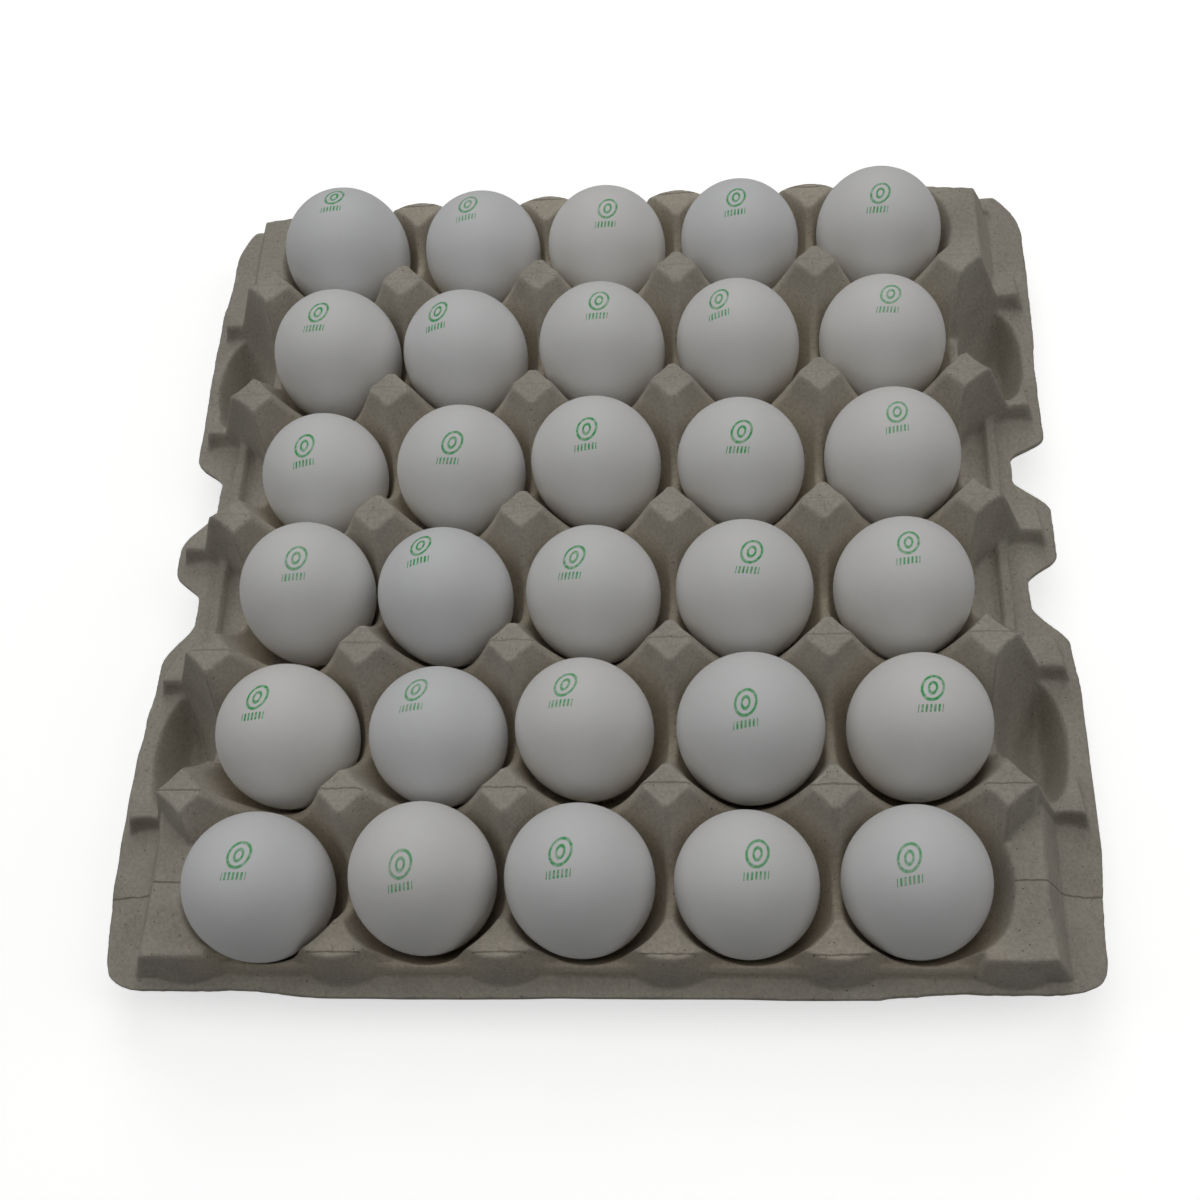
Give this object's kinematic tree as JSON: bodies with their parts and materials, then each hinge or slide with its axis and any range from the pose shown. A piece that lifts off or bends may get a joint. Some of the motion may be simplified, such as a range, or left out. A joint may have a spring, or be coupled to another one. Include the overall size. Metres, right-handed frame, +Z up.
{
  "type": "tray of eggs",
  "caption": "Open moulded-pulp egg tray, square pitched round cups with faceted posts, flanged edge with finger notches, filled with white hen's eggs.",
  "frame": {"origin": "centre of the tray's footprint, on the surface that its cup bottoms stand on", "axes": "+Z up; +X along the rows of eggs, to the right seen from the front; +Y away from the front edge"},
  "size_m": [0.294, 0.294, 0.0605],
  "materials": {
    "pulp": "matt moulded grey recycled-paper pulp with dark flecks and short fibres",
    "eggshell": "unglazed, fine-pored white eggshell with a soft satin sheen and a small green ink mark"
  },
  "bodies": {
    "root": {"egg_tray": "pulp", "egg_r1_c1": "eggshell", "egg_r1_c2": "eggshell", "egg_r1_c3": "eggshell", "egg_r1_c4": "eggshell", "egg_r1_c5": "eggshell", "egg_r2_c1": "eggshell", "egg_r2_c2": "eggshell", "egg_r2_c3": "eggshell", "egg_r2_c4": "eggshell", "egg_r2_c5": "eggshell", "egg_r3_c1": "eggshell", "egg_r3_c2": "eggshell", "egg_r3_c3": "eggshell", "egg_r3_c4": "eggshell", "egg_r3_c5": "eggshell", "egg_r4_c1": "eggshell", "egg_r4_c2": "eggshell", "egg_r4_c3": "eggshell", "egg_r4_c4": "eggshell", "egg_r4_c5": "eggshell", "egg_r5_c1": "eggshell", "egg_r5_c2": "eggshell", "egg_r5_c3": "eggshell", "egg_r5_c4": "eggshell", "egg_r5_c5": "eggshell", "egg_r6_c1": "eggshell", "egg_r6_c2": "eggshell", "egg_r6_c3": "eggshell", "egg_r6_c4": "eggshell", "egg_r6_c5": "eggshell"}
  },
  "joints": []
}
